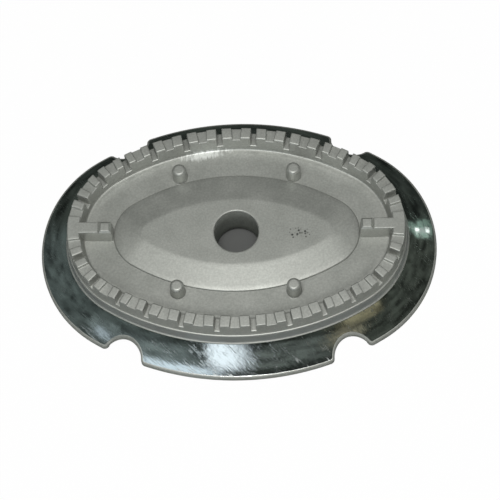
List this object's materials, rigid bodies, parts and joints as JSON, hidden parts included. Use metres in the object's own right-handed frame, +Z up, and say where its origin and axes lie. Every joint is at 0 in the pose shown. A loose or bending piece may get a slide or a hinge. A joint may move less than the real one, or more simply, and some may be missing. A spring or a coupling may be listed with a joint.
{
  "type": "oval gas burner base",
  "caption": "Oval cast aluminium burner base: a crown of flame ports round a shallow gas chamber with a central gas hole, on a flared polished skirt with rim notches.",
  "frame": {"origin": "centre of the oval on the plane that the rim stands on", "axes": "+Z up along the gas hole, +X along the length, +Y towards the back"},
  "size_m": [0.24, 0.1686, 0.0371],
  "materials": {
    "cast_aluminium": "as cast and tumbled on the crown and chamber, belt polished on the skirt"
  },
  "bodies": {
    "root": {"burner_base": "cast_aluminium"}
  },
  "joints": []
}
